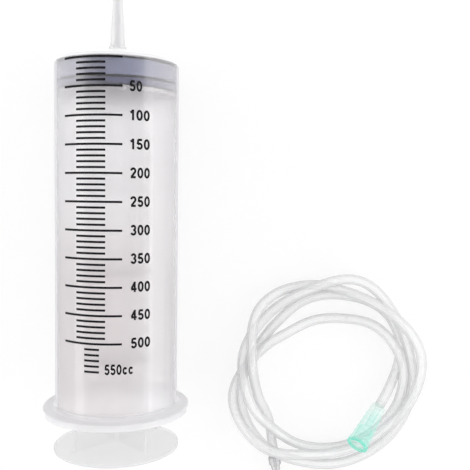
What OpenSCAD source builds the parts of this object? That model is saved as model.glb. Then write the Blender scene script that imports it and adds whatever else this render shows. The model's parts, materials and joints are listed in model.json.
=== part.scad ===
// Large tube syringe lying on its side, with its loose coiled hose beside it.
// The syringe is drawn upright about its own axis, nozzle up and zero line at 0, then laid down.

/* [Barrel] */
// Outside diameter of the barrel
barrel_d = 68.5; // [56:0.5:80]
// Thickness of the barrel's wall
barrel_wall = 1.5; // [1:0.1:2.4]
// Volume at the last line of the scale, in cubic centimetres
capacity = 550; // [350:50:600]
// Length of barrel between the last line and the finger flange
spare_l = 26; // [22:1:40]
// Slope of the closed end, in degrees
end_slope = 14; // [6:1:20]
// Thickness of the closed end
end_wall = 2.5; // [1.5:0.1:4]
// Rounding of the shoulder where the closed end meets the wall
shoulder_r = 1.2; // [0.6:0.1:1.4]

/* [Nozzle] */
// Diameter of the low collar round the nozzle's foot
collar_d = 10; // [9.4:0.2:14]
// Height of the low collar
collar_h = 1.2; // [0.6:0.1:2.5]
// Diameter of the nozzle at its foot
nozzle_base_d = 8.8; // [7:0.2:9.2]
// Diameter of the nozzle's straight tip, where a hose is pushed on
nozzle_tip_d = 5.8; // [5:0.1:6.6]
// Length of the nozzle above its collar
nozzle_l = 31; // [24:1:44]
// Length of the straight tip
nozzle_land = 6; // [4:0.5:10]
// Bore of the nozzle
nozzle_bore_d = 2.4; // [1.6:0.1:3.2]
// Diameter at which the bore opens inside the barrel
funnel_d = 6.4; // [4:0.2:7]
// Length over which the bore narrows from there
funnel_l = 7; // [4:0.5:9]

/* [Finger flange] */
// Diameter of the finger flange
flange_d = 82.4; // [76:0.4:100]
// Thickness of the finger flange
flange_t = 3; // [2.4:0.1:4.5]
// Rounding of the flange's rim
flange_edge = 0.9; // [0.4:0.1:1.1]
// Height of the stiffening bead under the flange's rim
bead_h = 0.8; // [0.4:0.1:1.5]
// Width of that bead
bead_w = 2; // [1.5:0.1:3]
// Fillet between the barrel and the flange
flange_fillet = 2; // [1:0.1:2.6]
// Chamfer at the barrel's open mouth
mouth_chamfer = 0.8; // [0.4:0.1:0.9]

/* [Printed scale] */
// Thickness of a printed line
line_w = 0.8; // [0.5:0.05:1.2]
// How far the ink stands off the barrel
ink_t = 0.12; // [0.1:0.01:0.2]
// Left end of every long line, in degrees round the barrel from the front
long_from = -46.6; // [-60:0.2:-40]
// Right end of every long line
long_to = 9.9; // [4:0.1:20]
// Left end of every short line
short_from = -32.2; // [-38:0.2:-28]
// Right end of every short line
short_to = -4.6; // [-8:0.1:0]
// Left end of the lines past the last long one
last_from = -24; // [-27:0.5:-20]
// Right end of the lines past the last long one
last_to = -10; // [-14:0.5:-6]

/* [Rubber seal] */
// Height of the seal's front band
front_band_h = 9; // [8:0.1:14]
// Height of the groove behind it
groove_h = 0.6; // [0.4:0.1:1.2]
// Depth of that groove
groove_depth = 1; // [0.6:0.1:1.6]
// Height of the rear sealing band
rear_band_h = 4; // [3:0.1:7]
// Gap between the rear sealing band and the bore
seal_fit = 0.05; // [0.02:0.01:0.1]
// Gap between the front band and the bore
band_gap = 0.3; // [0.2:0.05:0.5]
// Gap left in front of the seal when the plunger is pushed home
front_gap = 0.5; // [0.3:0.1:1]

/* [Plunger rod] */
// Diameter of the thumb disc
thumb_d = 70.4; // [60:0.4:84]
// Thickness of the thumb disc
thumb_t = 2; // [1.6:0.1:3.5]
// Rounding of the thumb disc's edge
thumb_edge = 0.7; // [0.3:0.1:0.75]
// Free length between the finger flange and the thumb disc
thumb_gap = 20; // [14:1:40]
// Width of the rod's cross-shaped section
cross_w = 56; // [44:1:60]
// Thickness of the cross's ribs
rib_t = 2.2; // [1.6:0.1:3]
// Turn of the cross about the rod's axis, in degrees
cross_turn = 40; // [0:5:85]
// Length of the cross's slanted corners behind the seal
corner_l = 24; // [10:1:40]
// Width of those corners
corner_w = 6; // [2:0.5:10]
// Number of round webs that stiffen the cross
web_count = 3; // [1:1:4]
// Diameter of those webs
web_d = 40; // [30:1:42]
// Thickness of those webs
web_t = 1.6; // [1.2:0.1:2.4]
// Thickness of the plate behind the seal
plate_t = 2.5; // [2:0.1:4]
// Diameter of the stud's neck inside the seal
neck_d = 34; // [28:1:36]
// Diameter of the stud's head inside the seal
head_d = 44; // [40:1:50]
// Thickness of the stud's head
head_t = 5.4; // [4:0.1:5.8]
// Gap between the neck and the seal, in which the rod turns
turn_fit = 0.05; // [0.02:0.01:0.1]
// Gap between the other faces of the rod and of what they meet
rod_gap = 0.3; // [0.2:0.05:0.5]

/* [Hose] */
// Outside diameter of the hose
hose_d = 6.2; // [5.4:0.1:6.2]
// Middle of the coil, right of the syringe's axis
coil_x = 129; // [125:1:160]
// Middle of the coil, behind or ahead of the syringe's middle
coil_y = -97; // [-110:1:60]
// Rings of the hose in each loop
rings_a_loop = 24; // [16:4:48]

/* [Funnel connector] */
// Length of the connector
funnel_conn_l = 30.5; // [26:0.5:40]
// Length of the smooth sleeve at the hose's end
sleeve_l = 6; // [4:0.5:9]
// Diameter of that sleeve
sleeve_d = 9; // [8:0.2:9.6]
// Diameter of the connector just behind its mouth
mouth_d = 12; // [11:0.2:13]
// Diameter of the rim at the mouth
rim_d = 13.2; // [12.6:0.2:14.4]
// Length of that rim
rim_l = 2; // [1.5:0.1:3.5]
// Diameter of the straight socket inside the mouth
socket_d = 9.4; // [8:0.1:10]
// Depth of that socket
socket_l = 12; // [8:0.5:16]
// Bore from the socket to the hose
passage_d = 4; // [2.5:0.1:4.4]
// Number of ring ribs round the connector
ring_count = 6; // [3:1:8]
// Height of a ring rib
ring_h = 0.4; // [0.2:0.05:0.6]

/* [Ribbed tip] */
// Diameter of the tip's collar over its ribs
tip_collar_d = 8; // [7.4:0.1:8.2]
// Length of that collar
tip_collar_l = 5; // [4:0.5:8]
// Number of ribs along the collar
tip_rib_count = 10; // [6:1:14]
// Height of those ribs
tip_rib_h = 0.5; // [0.3:0.05:0.7]
// Width of those ribs
tip_rib_w = 0.8; // [0.5:0.05:1]
// Length of the taper in front of the collar
tip_taper_l = 7; // [5:0.5:12]
// Diameter of the straight end
tip_end_d = 3.7; // [3:0.1:4.4]
// Length of the straight end
tip_end_l = 5; // [3:0.5:9]
// Bore through the tip
tip_bore_d = 1.8; // [1.2:0.1:2.2]

/* [Hidden] */

barrel_r = barrel_d / 2;
bore_r = barrel_r - barrel_wall;
// Length of bore that holds one cubic centimetre
cc_l = 1000 / (PI * bore_r * bore_r);
flange_z = -capacity * cc_l - spare_l;
mouth_z = flange_z - flange_t;

// The closed end: its inner and outer cones at radius r
function end_inner_z(r) = front_gap + (bore_r - r) * tan(end_slope);
function end_outer_z(r) = end_inner_z(r) + end_wall / cos(end_slope);
nozzle_foot_z = end_outer_z(collar_d / 2) + collar_h;
nozzle_tip_z = nozzle_foot_z + nozzle_l;
shoulder_z = end_outer_z(barrel_r);

// The seal and the rod behind it
band_r = bore_r - band_gap;
seal_z = -front_band_h - groove_h - rear_band_h;
head_z = -front_band_h + 0.2;
plate_z = seal_z - rod_gap - plate_t;
thumb_z = mouth_z - thumb_gap;
rod_end_z = thumb_z - thumb_t;

// The syringe leans on its flange and its shoulder: the line that touches both roundings
lean_a = flange_d / 2 - flange_edge - barrel_r + shoulder_r;
lean_d = shoulder_z - shoulder_r - flange_z + flange_edge;
lean = acos((shoulder_r - flange_edge) / norm([lean_a, lean_d])) - atan2(lean_d, lean_a);
axis_h = (flange_d / 2 - flange_edge) * cos(lean) + (flange_z - flange_edge) * sin(lean) + flange_edge;
rear_y = rod_end_z * cos(lean) - thumb_d / 2 * sin(lean);
front_y = nozzle_tip_z * cos(lean) + nozzle_tip_d / 2 * sin(lean);
axis_y = -(rear_y + front_y) / 2;

// Chamfer on the small edges of the nozzle, the connector and the tip
edge = 0.4;

// The hose's route at every twelfth of a turn: how far it lies from the coil's middle, and how many layers
// of hose it lies above the table. One row a loop, from the lower right round by the top
reach = [
    [34, 41, 50, 54, 51, 49, 46, 48, 57, 60, 58, 61],
    [61, 58, 54, 57, 63, 56, 54, 56, 52, 48, 50, 51],
    [51, 50, 47, 43, 36, 35, 38, 48, 62, 60, 51, 51],
    [50, 56, 59, 55, 54, 58, 62, 51, 46, 50, 81, 106]
];
layers = [
    [-1.25, -0.5, 0, 0, 0, 0, 0.25, 0, 0.25, 1.25, 1.25, 0.25],
    [0, 0.25, 1, 1, 1.5, 1.25, 0.5, 1.5, 2.5, 1.5, 0.25, 0],
    [0.25, 0.75, 1.25, 0.75, 0, 0.25, 1, 1, 1, 2.25, 2, 1],
    [1.5, 1.5, 2, 2, 1.25, 0, 1.25, 2.5, 1.25, 0.25, 0.25, 0.25]
];
stations = 12;
route_from = -24;
route_to = 1316;
// Room left under the hose, and from one layer to the next
floor_room = 0.4;
layer_room = 0.6;
// The hose's first end rises to the connector by this much, over this many degrees
rise_h = 14.5;
rise_span = 40.5;

// Smooth curve through the values of a list, at place p counted in stations
function pick(list, k) = let(i = max(0, min(stations * len(list) - 1, k)))
    list[floor(i / stations)][i % stations];
function blend(list, p) =
    let(k = floor(p), t = p - k, a = pick(list, k), b = pick(list, k + 1),
        da = (b - pick(list, k - 1)) / 2, db = (pick(list, k + 2) - a) / 2)
    a + da * t + (3 * (b - a) - 2 * da - db) * t * t + (2 * (a - b) + da + db) * t * t * t;
function route_point(angle) =
    let(p = (angle + 45) * stations / 360, r = blend(reach, p),
        rise = rise_h * pow(max(0, 1 - (angle - route_from) / rise_span), 2),
        lie = hose_d / 2 + floor_room + blend(layers, p) * (hose_d + layer_room))
    [coil_x + r * cos(angle), coil_y + r * sin(angle), lie + rise];
function unit(v) = v / norm(v);

ring_step = 360 / rings_a_loop;
turning = [for (a = [route_from : ring_step : route_to - ring_step / 2]) route_point(a), route_point(route_to)];
start_dir = unit(turning[0] - route_point(route_from + 1));
end_dir = unit(route_point(route_to) - route_point(route_to - 1));
hose_start = turning[0] + hose_d * start_dir;
hose_end = turning[len(turning) - 1] + hose_d * end_dir;
route = concat([hose_start], turning, [hose_end]);
last = len(route) - 1;

// Least gap of the hose to itself, between points more than an eighth of a turn apart
fine_step = 3;
fine = [for (a = [route_from : fine_step : route_to]) route_point(a)];
skip = 45 / fine_step;
self_gap = min([for (i = [0 : len(fine) - skip - 1]) for (j = [i + skip : len(fine) - 1])
    norm(fine[i] - fine[j])]) - hose_d;
hose_l = 2 * hose_d + hose_path(fine, 0);
function hose_path(pts, i) = i >= len(pts) - 1 ? 0 : norm(pts[i + 1] - pts[i]) + hose_path(pts, i + 1);
echo(self_gap = self_gap, hose_l = hose_l, lean = lean, axis_h = axis_h, axis_y = axis_y);
echo(hose_start = hose_start, start_dir = start_dir, hose_end = hose_end, end_dir = end_dir);
echo(nozzle_tip_z = nozzle_tip_z, rod_end_z = rod_end_z, cc_l = cc_l, flange_z = flange_z);

// Round corner of a turned outline: points on an arc of radius r about [x, z]
function arc(x, z, r, from, to) = [for (i = [0 : 6]) let(a = from + (to - from) * i / 6)
    [x + r * cos(a), z + r * sin(a)]];

// Lays the upright syringe on the table, nozzle towards +Y
module lay() {
    translate([0, axis_y, axis_h]) rotate([-90 - lean, 0, 0]) children();
}

// Puts a piece drawn along +Z at a place, pointing along a direction
module aim(place, dir) {
    translate(place) rotate([0, acos(dir[2]), atan2(dir[1], dir[0])]) children();
}

// Tube, closed cone end, nozzle and finger flange, moulded in one
module barrel() {
    corner = barrel_r - shoulder_r;
    rim_r = flange_d / 2;
    color("#dcdce6") lay() difference() {
        rotate_extrude($fn = 180) polygon(concat(
            [[bore_r, mouth_z + mouth_chamfer], [bore_r, end_inner_z(bore_r)]],
            [[funnel_d / 2, end_inner_z(funnel_d / 2)]],
            [[nozzle_bore_d / 2, end_inner_z(funnel_d / 2) + funnel_l]],
            [[nozzle_bore_d / 2, nozzle_tip_z], [nozzle_tip_d / 2 - edge, nozzle_tip_z]],
            [[nozzle_tip_d / 2, nozzle_tip_z - edge], [nozzle_tip_d / 2, nozzle_tip_z - nozzle_land]],
            [[nozzle_base_d / 2, nozzle_foot_z]],
            [[collar_d / 2, nozzle_foot_z], [collar_d / 2, end_outer_z(collar_d / 2)]],
            arc(corner, shoulder_z - shoulder_r, shoulder_r, 90 - end_slope, 0),
            arc(barrel_r + flange_fillet, flange_z + flange_fillet, flange_fillet, 180, 270),
            arc(rim_r - flange_edge, flange_z - flange_edge, flange_edge, 90, 0),
            arc(rim_r - flange_edge, mouth_z - bead_h + flange_edge, flange_edge, 0, -90),
            [[rim_r - bead_w, mouth_z - bead_h], [rim_r - bead_w - bead_h, mouth_z]],
            [[bore_r + mouth_chamfer, mouth_z]]
        ));
    }
}

// One printed line across the barrel, at a volume, between two angles
module printed_line(cc, from, to) {
    translate([0, 0, -cc * cc_l]) rotate([0, 0, from - 90])
        rotate_extrude(angle = to - from, $fn = 180)
            translate([barrel_r, -line_w / 2]) square([ink_t, line_w]);
}

// Lines of the scale: every fiftieth is long, and those past the last long one are shortest
module scale_print() {
    whole = floor((capacity - 1) / 50) * 50;
    color("#161616") lay() {
        for (cc = [0 : 50 : whole]) printed_line(cc, long_from, long_to);
        for (cc = [0 : 50 : whole - 50]) for (i = [1 : 4]) printed_line(cc + 10 * i, short_from, short_to);
        for (cc = [whole + 10 : 10 : capacity]) printed_line(cc, last_from, last_to);
    }
}

// Rubber seal: cone front, tall front band, groove, sealing band, and a chamber for the rod's stud
module plunger_seal() {
    lip_r = bore_r - seal_fit;
    groove_r = band_r - groove_depth;
    rear_z = seal_z + rear_band_h;
    color("#8f96ab") lay() difference() {
        rotate_extrude($fn = 180) polygon([
            [0, seal_z],
            [lip_r - 0.5, seal_z],
            [lip_r, seal_z + 0.5],
            [lip_r, rear_z - 0.5],
            [lip_r - 0.5, rear_z],
            [groove_r, rear_z],
            [groove_r, rear_z + groove_h],
            [band_r - 0.3, rear_z + groove_h],
            [band_r, rear_z + groove_h + 0.3],
            [band_r, -0.5],
            [band_r - 0.5, 0],
            [0, (band_r - 0.5) * tan(end_slope)]
        ]);
        translate([0, 0, seal_z - 1]) cylinder(r = neck_d / 2 + turn_fit, h = head_z - seal_z + 1, $fn = 120);
        translate([0, 0, head_z - rod_gap])
            cylinder(r = head_d / 2 + rod_gap, h = head_t + 2 * rod_gap, $fn = 120);
    }
}

// One rib of the cross, from the plate behind the seal to the thumb disc
module cross_rib() {
    half = cross_w / 2;
    shoulder = half - corner_w;
    corner_z = plate_z - corner_l;
    rotate([90, 0, 0]) translate([0, 0, -rib_t / 2]) linear_extrude(rib_t) polygon([
        [-half, thumb_z], [half, thumb_z], [half, corner_z], [shoulder, plate_z],
        [-shoulder, plate_z], [-half, corner_z]
    ]);
}

// Rod moulded in one: thumb disc, cross of ribs with round webs, plate and stud for the seal
module plunger_rod() {
    web_step = (plate_z - thumb_z) / (web_count + 1);
    color("#e6e6ee") lay() rotate([0, 0, cross_turn]) union() {
        rotate_extrude($fn = 180) polygon(concat(
            [[0, rod_end_z]],
            arc(thumb_d / 2 - thumb_edge, rod_end_z + thumb_edge, thumb_edge, -90, 0),
            arc(thumb_d / 2 - thumb_edge, thumb_z - thumb_edge, thumb_edge, 0, 90),
            [[0, thumb_z]]
        ));
        cross_rib();
        rotate([0, 0, 90]) cross_rib();
        for (i = [1 : web_count]) translate([0, 0, thumb_z + i * web_step - web_t / 2])
            cylinder(d = web_d, h = web_t, $fn = 90);
        translate([0, 0, plate_z]) cylinder(r = bore_r - 1, h = plate_t, $fn = 180);
        translate([0, 0, plate_z]) cylinder(d = neck_d, h = head_z - plate_z, $fn = 120);
        translate([0, 0, head_z]) cylinder(d = head_d, h = head_t, $fn = 120);
    }
}

// Ring of six points round one point of the hose's route
function ring(i) =
    let(t = unit(route[min(last, i + 1)] - route[max(0, i - 1)]),
        side = unit(cross([0, 0, 1], t)), up = cross(t, side))
    [for (k = [0 : 5]) route[i] + hose_d / 2 * (cos(60 * k) * side + sin(60 * k) * up)];

// The whole hose as one tube, faces turned outwards
module hose() {
    color("#e9ecee") polyhedron(
        points = concat([for (i = [0 : last]) each ring(i)], [route[0], route[last]]),
        faces = concat(
            [for (i = [0 : last - 1]) for (k = [0 : 5]) let(n = (k + 1) % 6)
                each [[6 * i + k, 6 * i + 6 + k, 6 * i + 6 + n], [6 * i + k, 6 * i + 6 + n, 6 * i + n]]],
            [for (k = [0 : 5]) [6 * (last + 1), k, (k + 1) % 6]],
            [for (k = [0 : 5]) [6 * (last + 1) + 1, 6 * last + (k + 1) % 6, 6 * last + k]]
        )
    );
}

// Funnel on the hose's first end: sleeve, ring ribs, rim and a socket that opens away from the hose
module hose_connector() {
    body_l = funnel_conn_l - sleeve_l - rim_l;
    pitch = body_l / ring_count;
    grow = (mouth_d - sleeve_d) / 2 / body_l;
    socket_z = funnel_conn_l - edge - socket_l;
    rim_z = sleeve_l + body_l;
    color("#5fc9a8") aim(hose_start, start_dir) rotate_extrude($fn = 96) polygon(concat(
        [[passage_d / 2, 0], [sleeve_d / 2 - 0.3, 0], [sleeve_d / 2, 0.3], [sleeve_d / 2, sleeve_l]],
        [for (i = [0 : ring_count - 1]) let(z = sleeve_l + i * pitch, r = sleeve_d / 2 + i * pitch * grow)
            each [[r, z], [r + 0.1 * pitch * grow, z + 0.1 * pitch],
                [r + 0.3 * pitch * grow + ring_h, z + 0.3 * pitch],
                [r + 0.5 * pitch * grow + ring_h, z + 0.5 * pitch], [r + 0.7 * pitch * grow, z + 0.7 * pitch]]],
        [[mouth_d / 2, rim_z], [rim_d / 2, rim_z + edge]],
        [[rim_d / 2, funnel_conn_l - edge], [rim_d / 2 - edge, funnel_conn_l]],
        [[socket_d / 2 + edge, funnel_conn_l], [socket_d / 2, funnel_conn_l - edge]],
        [[socket_d / 2, socket_z], [passage_d / 2, socket_z - 2]]
    ));
}

// Adapter on the hose's last end: ribbed collar, taper and straight end, bored through
module hose_tip() {
    core_r = tip_collar_d / 2 - tip_rib_h;
    taper_z = tip_collar_l + tip_taper_l;
    end_r = tip_end_d / 2;
    end_z = taper_z + tip_end_l + edge;
    color("#c9ced2") aim(hose_end, end_dir) difference() {
        union() {
            rotate_extrude($fn = 72) polygon([
                [0, 0], [core_r, 0], [core_r, tip_collar_l], [core_r - edge, tip_collar_l + edge],
                [end_r, taper_z], [end_r, end_z - edge], [end_r - edge, end_z], [0, end_z]
            ]);
            for (i = [0 : tip_rib_count - 1]) rotate([0, 0, 360 / tip_rib_count * (i + 0.5)])
                translate([core_r - 0.6, -tip_rib_w / 2, 0.3])
                    cube([tip_rib_h + 0.6, tip_rib_w, tip_collar_l - 0.6]);
        }
        translate([0, 0, -1]) cylinder(d = tip_bore_d, h = end_z + 2, $fn = 48);
    }
}

barrel();
scale_print();
plunger_seal();
plunger_rod();
hose();
hose_connector();
hose_tip();
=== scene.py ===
"""Looks of a large tube syringe lying on a table, with its loose coiled hose beside it."""

import json
import math

import bpy
from mathutils import Matrix, Vector


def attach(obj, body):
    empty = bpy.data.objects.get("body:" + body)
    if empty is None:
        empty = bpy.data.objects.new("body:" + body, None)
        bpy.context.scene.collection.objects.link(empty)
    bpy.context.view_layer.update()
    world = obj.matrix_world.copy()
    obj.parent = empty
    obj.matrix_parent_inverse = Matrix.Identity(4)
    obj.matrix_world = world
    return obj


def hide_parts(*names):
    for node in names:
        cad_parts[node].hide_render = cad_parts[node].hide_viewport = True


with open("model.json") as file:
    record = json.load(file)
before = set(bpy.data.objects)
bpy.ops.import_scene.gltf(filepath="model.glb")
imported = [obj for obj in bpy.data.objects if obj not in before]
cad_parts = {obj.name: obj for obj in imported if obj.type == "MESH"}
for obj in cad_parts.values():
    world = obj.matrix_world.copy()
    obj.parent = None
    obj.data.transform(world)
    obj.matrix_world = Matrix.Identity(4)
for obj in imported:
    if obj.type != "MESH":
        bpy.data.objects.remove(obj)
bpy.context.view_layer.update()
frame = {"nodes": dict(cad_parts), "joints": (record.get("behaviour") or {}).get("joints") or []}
nodes = frame["nodes"]
MM = 0.001

# Where the syringe lies: the rod's joint is on its axis, this far behind the scale's zero line
JOINT_BEHIND_ZERO = 100 * MM
rod_turn = next(joint for joint in frame["joints"] if joint["name"] == "rod_turn")
NOZZLE_WAY = -Vector(rod_turn["axis"]).normalized()
ZERO = Vector(rod_turn["pos_m"]) + JOINT_BEHIND_ZERO * NOZZLE_WAY
RIGHT = Vector((1, 0, 0))
FRONT = RIGHT.cross(NOZZLE_WAY)
BARREL_R = 34.25 * MM
# The length of barrel that holds one cubic centimetre, and the volumes at the last long line and the last line
CC_L = 0.29678 * MM
LAST_LONG_CC = 500
CAPACITY = 550

# The printed scale: the ends of its lines in degrees to the right of the front, the width that a line's ink
# has spread to, the height of its numbers, and how far the ink stands off the barrel
LONG_LINE = (-46.6, 9.9)
SHORT_LINE = (-32.2, -4.6)
LAST_LINE = (-24, -10)
LINE_W = 1.15 * MM
NUMBER_H = 5.45 * MM
INK_LIFT = 0.1 * MM
# How far the zero line is held back from the barrel's rounded shoulder
ZERO_LINE_BACK = 0.15 * MM

# The numbers' edges, in degrees too: the first number's, those from 100 to 500, whose left edge drifts a
# little while their width stays, and the last one's. Their middles lie this many cc ahead of their lines
FIRST_NUMBER = (15.9, 27.2)
NUMBERS_LEFT = (16.2, 17.7)
NUMBERS_WIDE = 18.3
LAST_NUMBER = (-5.1, 19.6)
NUMBERS_AHEAD = 1
LAST_NUMBER_AHEAD = 5

# The hose's route: how far it lies from the coil's middle, in millimetres, and how many layers above the
# table, at every twelfth of a turn, one row a loop. Angles are in degrees
REACH = (
    (34, 41, 50, 54, 51, 49, 46, 48, 57, 60, 58, 61),
    (61, 58, 54, 57, 63, 56, 54, 56, 52, 48, 50, 51),
    (51, 50, 47, 43, 36, 35, 38, 48, 62, 60, 51, 51),
    (50, 56, 59, 55, 54, 58, 62, 51, 46, 50, 81, 106),
)
LAYERS = (
    (-1.25, -0.5, 0, 0, 0, 0, 0.25, 0, 0.25, 1.25, 1.25, 0.25),
    (0, 0.25, 1, 1, 1.5, 1.25, 0.5, 1.5, 2.5, 1.5, 0.25, 0),
    (0.25, 0.75, 1.25, 0.75, 0, 0.25, 1, 1, 1, 2.25, 2, 1),
    (1.5, 1.5, 2, 2, 1.25, 0, 1.25, 2.5, 1.25, 0.25, 0.25, 0.25),
)
STATIONS = 12
FIRST_STATION = -45
COIL_MIDDLE = Vector((129, -97, 0)) * MM
HOSE_D = 6.2 * MM
HOSE_BORE = 4.2 * MM
ROUTE_FROM = -24
ROUTE_TO = 1316
FLOOR_ROOM = 0.4 * MM
LAYER_ROOM = 0.6 * MM
# The rise of the hose's first end to the connector, and the angle that it takes
RISE_H = 14.5 * MM
RISE_SPAN = 40.5
# How far from each cut end the hose is drawn clearer, inside its connector or tip
CUT_END = 3.2 * MM

# How deep the fine grain of the plastics and the rubber goes
GRAIN_DEPTH = 0.2 * MM


def make_camera():
    """The photograph's view: from above, a little past the barrel's middle."""
    eye = Vector((38.5, 30.6, 424.8)) * MM
    aim = Vector((69.6, -9.7, 0)) * MM
    top_of_picture = Vector((-0.0147, 1, 0))
    ahead = (aim - eye).normalized()
    right = ahead.cross(top_of_picture).normalized()
    up = right.cross(ahead)
    camera = bpy.data.objects.new("camera", bpy.data.cameras.new("camera"))
    camera.data.lens = 52.1
    camera.data.clip_start = 0.01
    camera.data.clip_end = 20
    camera.matrix_world = Matrix((right, up, -ahead)).transposed().to_4x4()
    camera.location = eye
    bpy.context.scene.collection.objects.link(camera)
    bpy.context.scene.camera = camera


def pick(rows, k):
    """Station k of a table of rows, held at its ends."""
    k = max(0, min(STATIONS * len(rows) - 1, k))
    return rows[k // STATIONS][k % STATIONS]


def blend(rows, place):
    """Smooth curve through a table's values, at a place counted in stations."""
    k = math.floor(place)
    t = place - k
    a = pick(rows, k)
    b = pick(rows, k + 1)
    da = (b - pick(rows, k - 1)) / 2
    db = (pick(rows, k + 2) - a) / 2
    return a + da * t + (3 * (b - a) - 2 * da - db) * t**2 + (2 * (a - b) + da + db) * t**3


def route_point(angle):
    """The hose's middle at an angle round the coil, in degrees."""
    place = (angle - FIRST_STATION) * STATIONS / 360
    reach = blend(REACH, place) * MM
    rise = RISE_H * max(0, 1 - (angle - ROUTE_FROM) / RISE_SPAN) ** 2
    lie = HOSE_D / 2 + FLOOR_ROOM + blend(LAYERS, place) * (HOSE_D + LAYER_ROOM)
    turn = math.radians(angle)
    return COIL_MIDDLE + Vector((reach * math.cos(turn), reach * math.sin(turn), lie + rise))


def hose_route(step=3):
    """Points along the whole hose, with a straight end one diameter long at each end."""
    first = route_point(ROUTE_FROM)
    last = route_point(ROUTE_TO)
    out_of_first = (first - route_point(ROUTE_FROM + 1)).normalized()
    out_of_last = (last - route_point(ROUTE_TO - 1)).normalized()
    turning = [route_point(angle) for angle in range(ROUTE_FROM, ROUTE_TO - step // 2, step)]
    return [first + HOSE_D * out_of_first, *turning, last, last + HOSE_D * out_of_last]


def new_mesh(name, points, faces, material):
    """A smooth-shaded mesh piece with one material."""
    mesh = bpy.data.meshes.new(name)
    mesh.from_pydata([tuple(p) for p in points], [], faces)
    mesh.polygons.foreach_set("use_smooth", [True] * len(mesh.polygons))
    mesh.materials.append(material)
    piece = bpy.data.objects.new(name, mesh)
    bpy.context.scene.collection.objects.link(piece)
    return piece


def make_hose(route, material, sides=18):
    """The hose as one tube with its bore, along the route, with a ring of faces closing each end."""
    last = len(route) - 1
    radii = (HOSE_D / 2, HOSE_BORE / 2)
    points = []
    for i, middle in enumerate(route):
        way = (route[min(last, i + 1)] - route[max(0, i - 1)]).normalized()
        side = Vector((0, 0, 1)).cross(way).normalized()
        up = way.cross(side)
        for radius in radii:
            for k in range(sides):
                turn = math.tau * k / sides
                points.append(middle + radius * (math.cos(turn) * side + math.sin(turn) * up))
    ring = 2 * sides
    faces = []
    for i in range(last):
        for k in range(sides):
            n = (k + 1) % sides
            a = ring * i + k
            b = ring * i + n
            faces.append((a, b, b + ring, a + ring))
            faces.append((b + sides, a + sides, a + sides + ring, b + sides + ring))
    tube_faces = len(faces)
    for k in range(sides):
        n = (k + 1) % sides
        faces.append((n, k, k + sides, n + sides))
        faces.append(tuple(ring * last + corner for corner in (k, n, n + sides, k + sides)))
    hose = new_mesh("clear_hose", points, faces, material)
    for end_face in hose.data.polygons[tube_faces:]:
        end_face.use_smooth = False
    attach(hose, "barrel")
    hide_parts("hose")
    length = sum((b - a).length for a, b in zip(route, route[1:]))


class Value:
    """A shader socket that takes Python's operators, each adding a Math node."""

    def __init__(self, finish, socket):
        self.finish = finish
        self.socket = socket

    def __add__(self, other):
        return self.finish.math("ADD", self, other)

    __radd__ = __add__

    def __sub__(self, other):
        return self.finish.math("SUBTRACT", self, other)

    def __rsub__(self, other):
        return self.finish.math("SUBTRACT", other, self)

    def __mul__(self, other):
        return self.finish.math("MULTIPLY", self, other)

    __rmul__ = __mul__

    def __pow__(self, other):
        return self.finish.math("POWER", self, other)

    def __abs__(self):
        return self.finish.math("ABSOLUTE", self)

    def most(self, other):
        """The larger of two values."""
        return self.finish.math("MAXIMUM", self, other)

    def between(self, low, high):
        """0 below low, 1 above high and smooth between."""
        settings = {"interpolation_type": "SMOOTHSTEP"}
        limits = {"Value": self, "From Min": low, "From Max": high}
        return self.finish.node("ShaderNodeMapRange", settings, limits)


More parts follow.
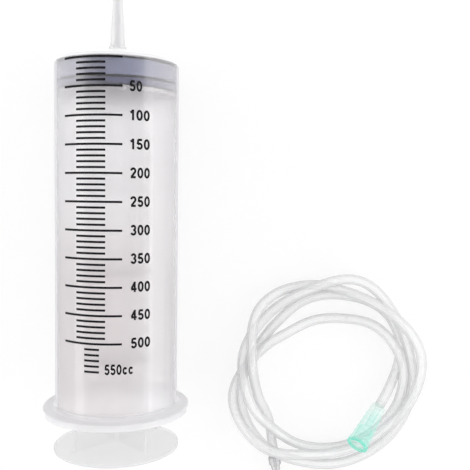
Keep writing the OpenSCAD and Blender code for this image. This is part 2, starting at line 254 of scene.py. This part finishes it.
class Finish:
    """One material, whose nodes are added by node()."""

    def __init__(self, name):
        self.material = bpy.data.materials.new(name)
        self.material.use_nodes = True
        self.tree = self.material.node_tree
        self.tree.nodes.clear()

    def node(self, kind, settings=None, inputs=None, output=0):
        """Adds a node, sets it up, joins or sets its sockets, and gives one output."""
        made = self.tree.nodes.new(kind)
        for key, setting in (settings or {}).items():
            setattr(made, key, setting)
        for key, given in (inputs or {}).items():
            if isinstance(given, Value):
                self.tree.links.new(given.socket, made.inputs[key])
            else:
                made.inputs[key].default_value = given
        return Value(self, made.outputs[output]) if made.outputs else None

    def math(self, operation, *values):
        """A Math node over values or numbers."""
        return self.node("ShaderNodeMath", {"operation": operation}, dict(enumerate(values)))

    def vectors(self, operation, *values, output="Vector"):
        """A Vector Math node over places or directions."""
        return self.node("ShaderNodeVectorMath", {"operation": operation}, dict(enumerate(values)), output)

    def mixed(self, share, a, b):
        """Colour a going over to colour b by share."""
        settings = {"data_type": "RGBA"}
        # A Mix node's colours are its inputs 6 and 7 and its output 2
        return self.node("ShaderNodeMix", settings, {0: share, 6: colour(a), 7: colour(b)}, 2)

    def place(self):
        """Where a point of the surface lies, in metres."""
        return self.node("ShaderNodeTexCoord", output="Object")

    def grain(self, scale, stretch=(1, 1, 1)):
        """Soft noise, stretched along the axes."""
        place = self.node("ShaderNodeMapping", None, {"Vector": self.place(), "Scale": stretch})
        return self.node("ShaderNodeTexNoise", None, {"Vector": place, "Scale": scale, "Detail": 2.0})

    def from_start(self, start):
        """Where a point lies from a start."""
        return self.vectors("SUBTRACT", self.place(), start)

    def along(self, start=ZERO, way=NOZZLE_WAY):
        """How far a point lies from a start along a direction: the scale's zero line, towards the nozzle."""
        return self.vectors("DOT_PRODUCT", self.from_start(start), way, output="Value")

    def near(self, middle, reach):
        """1 closer to a point than a reach, 0 further off."""
        away = self.vectors("LENGTH", self.from_start(middle), output="Value")
        return 1 - away.between(reach, 1.1 * reach)

    def off_axis(self):
        """How far a point lies from the syringe's axis."""
        across = self.vectors("CROSS_PRODUCT", self.from_start(ZERO), NOZZLE_WAY)
        return self.vectors("LENGTH", across, output="Value")

    def facing(self):
        """0 where the surface faces the ray, 1 where it turns away."""
        return self.node("ShaderNodeLayerWeight", None, {"Blend": 0.5}, "Facing")

    def bump(self, height, strength):
        """A fine grain of the surface."""
        inputs = {"Height": height, "Strength": strength, "Distance": GRAIN_DEPTH}
        return self.node("ShaderNodeBump", None, inputs)

    def plastic(self, **inputs):
        """A Principled shader with these sockets."""
        named = {key.replace("_", " ").title().replace("Ior", "IOR"): given for key, given in inputs.items()}
        return self.node("ShaderNodeBsdfPrincipled", None, named)

    def over(self, share, below, above):
        """One shader laid over another by share."""
        return self.node("ShaderNodeMixShader", None, {0: share, 1: below, 2: above})

    def thin(self, share, shader):
        """A shader that covers only this share of what lies behind it."""
        return self.over(share, self.node("ShaderNodeBsdfTransparent"), shader)

    def done(self, shader):
        """Ends the material in this shader."""
        self.node("ShaderNodeOutputMaterial", None, {"Surface": shader})
        return self.material


def colour(given):
    """An RGBA colour from three numbers, or a socket as it is."""
    return given if isinstance(given, Value) else (*given, 1)


def milky_plastic():
    """The barrel: smooth outside and dull inside.

    What touches its wall shows sharp and the rest is blurred. Where the wall is seen aslant, and on the
    closed end, it is milky.
    """
    finish = Finish("milky_plastic")
    ahead = finish.along()
    out = finish.off_axis()
    across = finish.along(ZERO, RIGHT)
    facing = finish.facing()
    clouds = finish.grain(9, (1, 0.35, 1)).between(0.35, 0.65)
    rear = 1 - ahead.between(-120 * MM, -70 * MM)
    # Painted warm reflection: the wall's rear left is tinted warmer and a little darker
    painted_warm_reflection = rear * (1 - across.between(5 * MM, 25 * MM))
    fine = finish.grain(900)
    closed_end = ahead.between(0.3 * MM, 1.5 * MM)
    nozzle = ahead.between(9 * MM, 12 * MM)
    passage = 1 - out.between(1.25 * MM, 1.5 * MM)
    flange = 1 - ahead.between(-190 * MM, -184 * MM)
    outside = out.between(33.2 * MM, 33.8 * MM).most(closed_end)
    tint = finish.mixed(clouds, (0.997, 0.988, 0.999), (0.999, 0.984, 0.988))
    # The painted warm reflection laid on the wall's rear left
    tint = finish.mixed(painted_warm_reflection, tint, (0.935, 0.903, 0.909))
    # Painted shade: the plastic round the nozzle's bore is tinted grey, so the bore shows as a grey line
    tint = finish.mixed(passage, tint, (0.84, 0.84, 0.85))
    bump = finish.bump(fine, 0.03)
    clear = finish.plastic(
        base_color=tint, roughness=0.5 - 0.42 * outside + 0.04 * fine, transmission_weight=0.98,
        ior=1.35, coat_weight=0.3, coat_roughness=0.2, normal=bump,
    )
    milk = finish.mixed(clouds, (0.91, 0.90, 0.925), (0.93, 0.90, 0.915))
    # Painted shade: the milky layer is darker towards the rear
    milk = finish.mixed(rear, milk, (0.84, 0.82, 0.845))
    # Painted shade: the milky layer greys where the wall turns away, drawing the barrel's outline
    milk = finish.mixed(facing.between(0.6, 0.8), milk, (0.60, 0.59, 0.62))
    # Painted sheen: the closed end is whiter where it turns away
    end = finish.mixed(facing.between(0.6, 0.9), (0.86, 0.855, 0.87), (0.97, 0.97, 0.97))
    milk = finish.mixed(closed_end, milk, end)
    milk = finish.mixed(flange, milk, (0.90, 0.895, 0.91))
    milky = finish.plastic(base_color=milk, roughness=0.3 + 0.1 * fine, normal=bump)
    aslant = 0.25 * facing.between(0.0, 0.28) + 0.6 * facing.between(0.66, 0.8)
    share = (outside * aslant).most(closed_end * (0.9 - 0.6 * nozzle)).most(0.65 * flange)
    return finish.done(finish.over(share, clear, milky))


def white_plastic():
    """The rod: pale and see-through, whiter on the plate behind the seal, denser along its edges, and greyed
    by painted shade where it turns away.
    """
    finish = Finish("white_plastic")
    ahead = finish.along()
    out = finish.off_axis()
    clouds = finish.grain(14)
    fine = finish.grain(700)
    aslant = finish.facing().between(0.45, 1.0)
    plate = ahead.between(-18 * MM, -17.5 * MM)
    ribs = ahead.between(-212.1 * MM, -211.7 * MM)
    disc_back = 1 - ahead.between(-213.9 * MM, -213.4 * MM)
    edge = (out.between(27.4 * MM, 27.8 * MM) * ribs).most(out.between(34.7 * MM, 35.1 * MM))
    pale = finish.mixed(clouds, (0.70, 0.70, 0.71), (0.77, 0.77, 0.775))
    pale = finish.mixed(plate, pale, (0.84, 0.825, 0.84))
    # Painted shade: the rod goes grey where it turns away
    white = finish.plastic(
        base_color=finish.mixed(aslant, pale, (0.52, 0.52, 0.54)),
        roughness=0.35 + 0.1 * fine, normal=finish.bump(fine, 0.06),
    )
    share = ribs * (0.1 + 0.2 * aslant) + 0.42 * disc_back
    return finish.done(finish.thin(share.most(0.4 * edge).most(0.87 * plate), white))


def grey_rubber():
    """The seal: blue-grey and matt, paler on its front band, with painted sheen where it turns away and
    painted shade in its groove and along its front and rear edges.
    """
    finish = Finish("grey_rubber")
    ahead = finish.along()
    fine = finish.grain(1200)
    band = finish.mixed(fine, (0.095, 0.102, 0.21), (0.11, 0.117, 0.23))
    front = finish.mixed(fine, (0.28, 0.305, 0.45), (0.30, 0.325, 0.47))
    tone = finish.mixed(ahead.between(-10 * MM, -9 * MM), band, front)
    # Painted sheen: the seal is paler and bluer where it turns away
    tone = finish.mixed(finish.facing().between(0.05, 0.6), tone, (0.44, 0.45, 0.55))
    # Painted shade: the groove and the seal's front and rear edges are darkened
    groove = abs(ahead + 9.5 * MM).between(0.6 * MM, 0.85 * MM)
    rims = ahead.between(-13.5 * MM, -13.2 * MM) * (1 - ahead.between(-0.6 * MM, -0.3 * MM))
    tone = finish.mixed(groove * rims, (0.012, 0.014, 0.028), tone)
    return finish.done(finish.plastic(
        base_color=tone, roughness=0.5 + 0.2 * fine, normal=finish.bump(fine, 0.15),
    ))


def black_ink():
    """The scale's printing: black, with a few thin places."""
    finish = Finish("black_ink")
    fine = finish.grain(1500)
    tone = finish.mixed(fine, (0.004, 0.004, 0.006), (0.012, 0.010, 0.013))
    return finish.done(finish.plastic(
        base_color=tone, roughness=0.5 + 0.2 * fine, specular_ior_level=0.15,
    ))


def clear_hose(first_end, last_end):
    """The hose: clear and soft, greyed by painted shade where its wall is seen aslant, and clearest at its cut
    ends.
    """
    finish = Finish("clear_hose")
    clouds = finish.grain(60)
    aslant = finish.facing().between(0.12, 0.65)
    pale = finish.mixed(clouds, (0.95, 0.95, 0.955), (0.985, 0.985, 0.985))
    # Painted shade: the hose greys where its wall turns away
    soft = finish.plastic(
        base_color=finish.mixed(aslant, pale, (0.64, 0.64, 0.65)),
        roughness=0.2 + 0.1 * clouds, coat_weight=0.4, coat_roughness=0.12,
    )
    cut = finish.near(first_end, CUT_END).most(finish.near(last_end, CUT_END))
    return finish.done(finish.thin((0.26 + 0.38 * aslant) * (1 - 0.85 * cut), soft))


def green_plastic(start, way):
    """The funnel connector: clear mint green, deeper at its rim and paler on its sleeve."""
    finish = Finish("green_plastic")
    along = finish.along(start, way)
    clouds = finish.grain(120)
    aslant = finish.facing()
    sleeve = 1 - along.between(5 * MM, 7 * MM)
    rim = along.between(28.2 * MM, 29 * MM)
    tone = finish.mixed(clouds, (0.28, 0.79, 0.66), (0.34, 0.84, 0.72))
    tone = finish.mixed(sleeve, tone, (0.62, 0.87, 0.80))
    tone = finish.mixed(rim, tone, (0.06, 0.76, 0.56))
    mint = finish.plastic(
        base_color=tone, roughness=0.2 + 0.08 * clouds, coat_weight=0.3, coat_roughness=0.1,
    )
    return finish.done(finish.thin(0.15 + 0.4 * aslant**2 + 0.25 * rim, mint))


def clear_plastic():
    """The ribbed tip: clear, greyed by painted shade where its ribs turn away."""
    finish = Finish("clear_plastic")
    clouds = finish.grain(150)
    aslant = finish.facing()
    pale = finish.mixed(clouds, (0.54, 0.54, 0.55), (0.64, 0.64, 0.65))
    # Painted shade: the tip goes dark grey where its ribs turn away
    grey = finish.plastic(
        base_color=finish.mixed(aslant.between(0.25, 0.85), pale, (0.2, 0.2, 0.22)),
        roughness=0.12 + 0.05 * clouds, coat_weight=0.4, coat_roughness=0.08,
    )
    return finish.done(finish.thin(0.3 + 0.45 * aslant.between(0.2, 0.9), grey))


def dress(node, material):
    """Gives a CAD node its material."""
    mesh = nodes[node].data
    mesh.materials.clear()
    mesh.materials.append(material)
    mesh.polygons.foreach_set("material_index", [0] * len(mesh.polygons))


def on_barrel(across, ahead, off=0.0):
    """A point on the barrel, across by an angle to the right of the front and ahead of the zero line."""
    out = math.sin(across) * RIGHT + math.cos(across) * FRONT
    return ZERO + ahead * NOZZLE_WAY + (BARREL_R + off) * out


def bow(x, y, wide, tall, start, end):
    """Points along part of an oval, from one angle to another in degrees."""
    count = max(6, abs(end - start) // 15)
    turns = (math.radians(start + (end - start) * i / count) for i in range(count + 1))
    return [(x + wide * math.cos(turn), y + tall * math.sin(turn)) for turn in turns]


# The strokes of each character, in a box one high whose characters stand LETTER_STEP apart
LETTER_STEP = 0.78
STROKE_W = 0.22
STROKES = {
    "0": [bow(0.33, 0.5, 0.235, 0.41, 0, 360)],
    "1": [[(0.43, 0), (0.43, 1)], [(0.16, 0.72), (0.30, 0.79), (0.43, 0.95)]],
    "2": [bow(0.32, 0.69, 0.225, 0.22, 175, -35) + [(0.13, 0.12)], [(0.06, 0.09), (0.60, 0.09)]],
    "3": [bow(0.32, 0.71, 0.20, 0.20, 165, -90), bow(0.32, 0.30, 0.225, 0.215, 90, -165)],
    "4": [[(0.43, 0), (0.43, 1)], [(0.42, 0.92), (0.08, 0.33)], [(0.03, 0.28), (0.64, 0.28)]],
    "5": [
        [(0.15, 0.91), (0.58, 0.91)], [(0.18, 0.93), (0.12, 0.48)], bow(0.32, 0.32, 0.235, 0.235, 145, -160),
    ],
    "c": [bow(0.34, 0.36, 0.225, 0.27, 35, 325)],
}


def ribbon(line, wide):
    """The two edges of a band along a line, as pairs of points."""
    pairs = []
    for i, (x, y) in enumerate(line):
        ahead = line[min(len(line) - 1, i + 1)]
        behind = line[max(0, i - 1)]
        run = math.hypot(ahead[0] - behind[0], ahead[1] - behind[1])
        nx = (behind[1] - ahead[1]) / run * wide / 2
        ny = (ahead[0] - behind[0]) / run * wide / 2
        pairs += [(x + nx, y + ny), (x - nx, y - ny)]
    return pairs


def print_word(word, left, right, cc, material):
    """Prints a word on the barrel between two angles in degrees, its middle at a volume in cc."""
    marks = []
    faces = []
    for place, letter in enumerate(word):
        for line in STROKES[letter]:
            edges = ribbon(line, STROKE_W)
            start = len(marks)
            marks += [(x + place * LETTER_STEP, y) for x, y in edges]
            faces += [(i, i + 1, i + 3, i + 2) for i in range(start, len(marks) - 3, 2)]
    xs = [x for x, _ in marks]
    wide = math.radians(right - left) / (max(xs) - min(xs))
    foot = -cc * CC_L - NUMBER_H / 2
    points = [
        on_barrel(math.radians(left) + (x - min(xs)) * wide, foot + y * NUMBER_H, INK_LIFT)
        for x, y in marks
    ]
    piece = new_mesh("number_" + word, points, faces, material)
    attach(piece, "barrel")


def print_lines(material, steps=12):
    """The scale's lines: a long one every 50 cc, four short ones between, and five at the end."""
    points = []
    faces = []
    for cc in range(0, CAPACITY + 1, 10):
        left, right = LAST_LINE if cc > LAST_LONG_CC else SHORT_LINE if cc % 50 else LONG_LINE
        ahead = -max(cc * CC_L, ZERO_LINE_BACK)
        start = len(points)
        for i in range(steps + 1):
            across = math.radians(left + (right - left) * i / steps)
            points += [on_barrel(across, ahead + side * LINE_W / 2, INK_LIFT) for side in (1, -1)]
        faces += [(i, i + 1, i + 3, i + 2) for i in range(start, len(points) - 3, 2)]
    piece = new_mesh("scale_lines", points, faces, material)
    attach(piece, "barrel")
    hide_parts("scale_print")


def print_numbers(material):
    """The scale's numbers, right of every long line, and the full volume beside the last ones."""
    print_word("50", *FIRST_NUMBER, 50 - NUMBERS_AHEAD, material)
    first_left, last_left = NUMBERS_LEFT
    for cc in range(100, LAST_LONG_CC + 1, 50):
        left = first_left + (last_left - first_left) * (cc - 100) / (LAST_LONG_CC - 100)
        print_word(str(cc), left, left + NUMBERS_WIDE, cc - NUMBERS_AHEAD, material)
    print_word(f"{CAPACITY}cc", *LAST_NUMBER, CAPACITY - LAST_NUMBER_AHEAD, material)


def make_table(material):
    """A wide pale floor just under the object."""
    half = 3.0
    gap = 0.1 * MM
    points = [(x * half, y * half, 0) for x, y in ((-1, -1), (1, -1), (1, 1), (-1, 1))]
    table = new_mesh("table", points, [(0, 1, 2, 3)], material)
    table.location.z = -gap


def table_finish():
    """White to the eye and through clear pieces, with a part of the object's soft shadow kept."""
    finish = Finish("table")
    glow_share = 0.8
    rays = ("Camera", "Glossy", "Transmission")
    eye, gloss, through = (finish.node("ShaderNodeLightPath", output=f"Is {ray} Ray") for ray in rays)
    seen = (glow_share * eye.most(gloss)).most(through)
    shade = finish.node("ShaderNodeBsdfDiffuse", None, {"Color": (0.92, 0.92, 0.92, 1)})
    glow = finish.node("ShaderNodeEmission", None, {"Color": (1, 1, 1, 1), "Strength": 1.0})
    return finish.done(finish.over(seen, shade, glow))


def soft_box(name, place, wide, long, energy):
    """A long lamp aimed at the middle of the table, its long side along Y."""
    lamp = bpy.data.objects.new(name, bpy.data.lights.new(name, "AREA"))
    lamp.data.shape = "RECTANGLE"
    lamp.data.size = wide
    lamp.data.size_y = long
    lamp.data.energy = energy
    table_middle = Vector((0.03, 0, 0))
    away = (Vector(place) - table_middle).normalized()
    side = Vector((0, 1, 0)).cross(away).normalized()
    lamp.matrix_world = Matrix((side, away.cross(side), away)).transposed().to_4x4()
    lamp.location = place
    bpy.context.scene.collection.objects.link(lamp)


def make_light():
    """Plain soft light: a white world and a long soft lamp at either side of the table.

    Rays may go on through many clear walls.
    """
    scene = bpy.context.scene
    world = bpy.data.worlds.new("studio")
    scene.world = world
    world.use_nodes = True
    background = world.node_tree.nodes["Background"]
    background.inputs["Strength"].default_value = 1.0
    background.inputs["Color"].default_value = (1, 1, 1, 1)
    soft_box("lamp_right", (0.95, 0, 0.5), 0.35, 1.6, 3.4)
    soft_box("lamp_left", (-0.9, 0, 0.45), 0.35, 1.6, 3)
    scene.view_settings.view_transform = "Standard"
    scene.cycles.max_bounces = 32
    scene.cycles.transmission_bounces = 32
    scene.cycles.transparent_max_bounces = 64
    scene.cycles.glossy_bounces = 16
    scene.cycles.diffuse_bounces = 12


make_camera()
route = hose_route()
make_hose(route, clear_hose(route[0], route[-1]))
dress("barrel", milky_plastic())
dress("plunger_rod", white_plastic())
dress("plunger_seal", grey_rubber())
ink = black_ink()
print_lines(ink)
print_numbers(ink)
dress("hose_connector", green_plastic(route[0], (route[0] - route[1]).normalized()))
dress("hose_tip", clear_plastic())
make_table(table_finish())
make_light()
